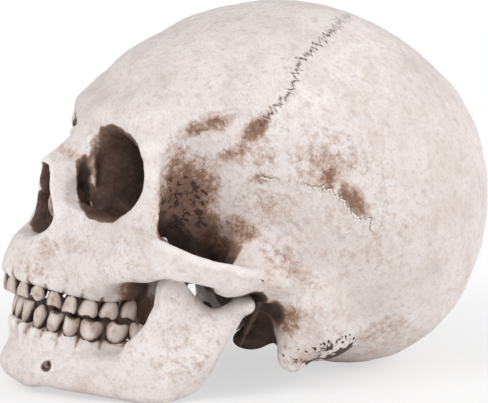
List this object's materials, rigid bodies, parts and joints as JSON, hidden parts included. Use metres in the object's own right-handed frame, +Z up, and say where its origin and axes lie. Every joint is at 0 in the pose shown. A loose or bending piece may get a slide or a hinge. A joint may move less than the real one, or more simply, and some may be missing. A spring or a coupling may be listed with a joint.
{
  "type": "anatomical skull model",
  "caption": "Life-size display skull with hollow braincase, open orbits and nose, separate teeth in sockets, and a hinged lower jaw on springs",
  "frame": {"origin": "centre of the footprint on the table plane that the jaw angles and the back of the head rest on", "axes": "+Z up from the table, face towards -Y, the skull's own left side at +X"},
  "size_m": [0.1416, 0.212, 0.1565],
  "materials": {
    "bone_resin": "matt cast resin, painted bone white with brown wash in the hollows",
    "tooth_resin": "satin cast resin, tooth colour with brown wash at the necks",
    "spring_steel": "plain drawn steel wire and turned screws"
  },
  "bodies": {
    "skull": {"cranium": "bone_resin", "upper_central_incisor_left": "tooth_resin", "upper_central_incisor_right": "tooth_resin", "upper_lateral_incisor_left": "tooth_resin", "upper_lateral_incisor_right": "tooth_resin", "upper_canine_left": "tooth_resin", "upper_canine_right": "tooth_resin", "upper_first_premolar_left": "tooth_resin", "upper_first_premolar_right": "tooth_resin", "upper_second_premolar_left": "tooth_resin", "upper_second_premolar_right": "tooth_resin", "upper_first_molar_left": "tooth_resin", "upper_first_molar_right": "tooth_resin", "upper_second_molar_left": "tooth_resin", "upper_second_molar_right": "tooth_resin", "upper_third_molar_left": "tooth_resin", "upper_third_molar_right": "tooth_resin", "nose_insert": "bone_resin", "styloid_process_left": "bone_resin", "styloid_process_right": "bone_resin", "jaw_spring_left": "spring_steel", "jaw_spring_right": "spring_steel", "spring_screw_upper_left": "spring_steel", "spring_screw_upper_right": "spring_steel"},
    "lower_jaw": {"mandible": "bone_resin", "lower_central_incisor_left": "tooth_resin", "lower_central_incisor_right": "tooth_resin", "lower_lateral_incisor_left": "tooth_resin", "lower_lateral_incisor_right": "tooth_resin", "lower_canine_left": "tooth_resin", "lower_canine_right": "tooth_resin", "lower_first_premolar_left": "tooth_resin", "lower_first_premolar_right": "tooth_resin", "lower_second_premolar_left": "tooth_resin", "lower_second_premolar_right": "tooth_resin", "lower_first_molar_left": "tooth_resin", "lower_first_molar_right": "tooth_resin", "lower_second_molar_left": "tooth_resin", "lower_second_molar_right": "tooth_resin", "lower_third_molar_left": "tooth_resin", "lower_third_molar_right": "tooth_resin", "spring_screw_lower_left": "spring_steel", "spring_screw_lower_right": "spring_steel"}
  },
  "joints": [
    {"name": "jaw_hinge", "type": "hinge", "parent": "skull", "child": "lower_jaw", "pos_m": [0, -0.0193, 0.0386], "axis": [1, 0, 0], "range_deg": [0, 26], "deforming": ["jaw_spring_left", "jaw_spring_right"]}
  ]
}
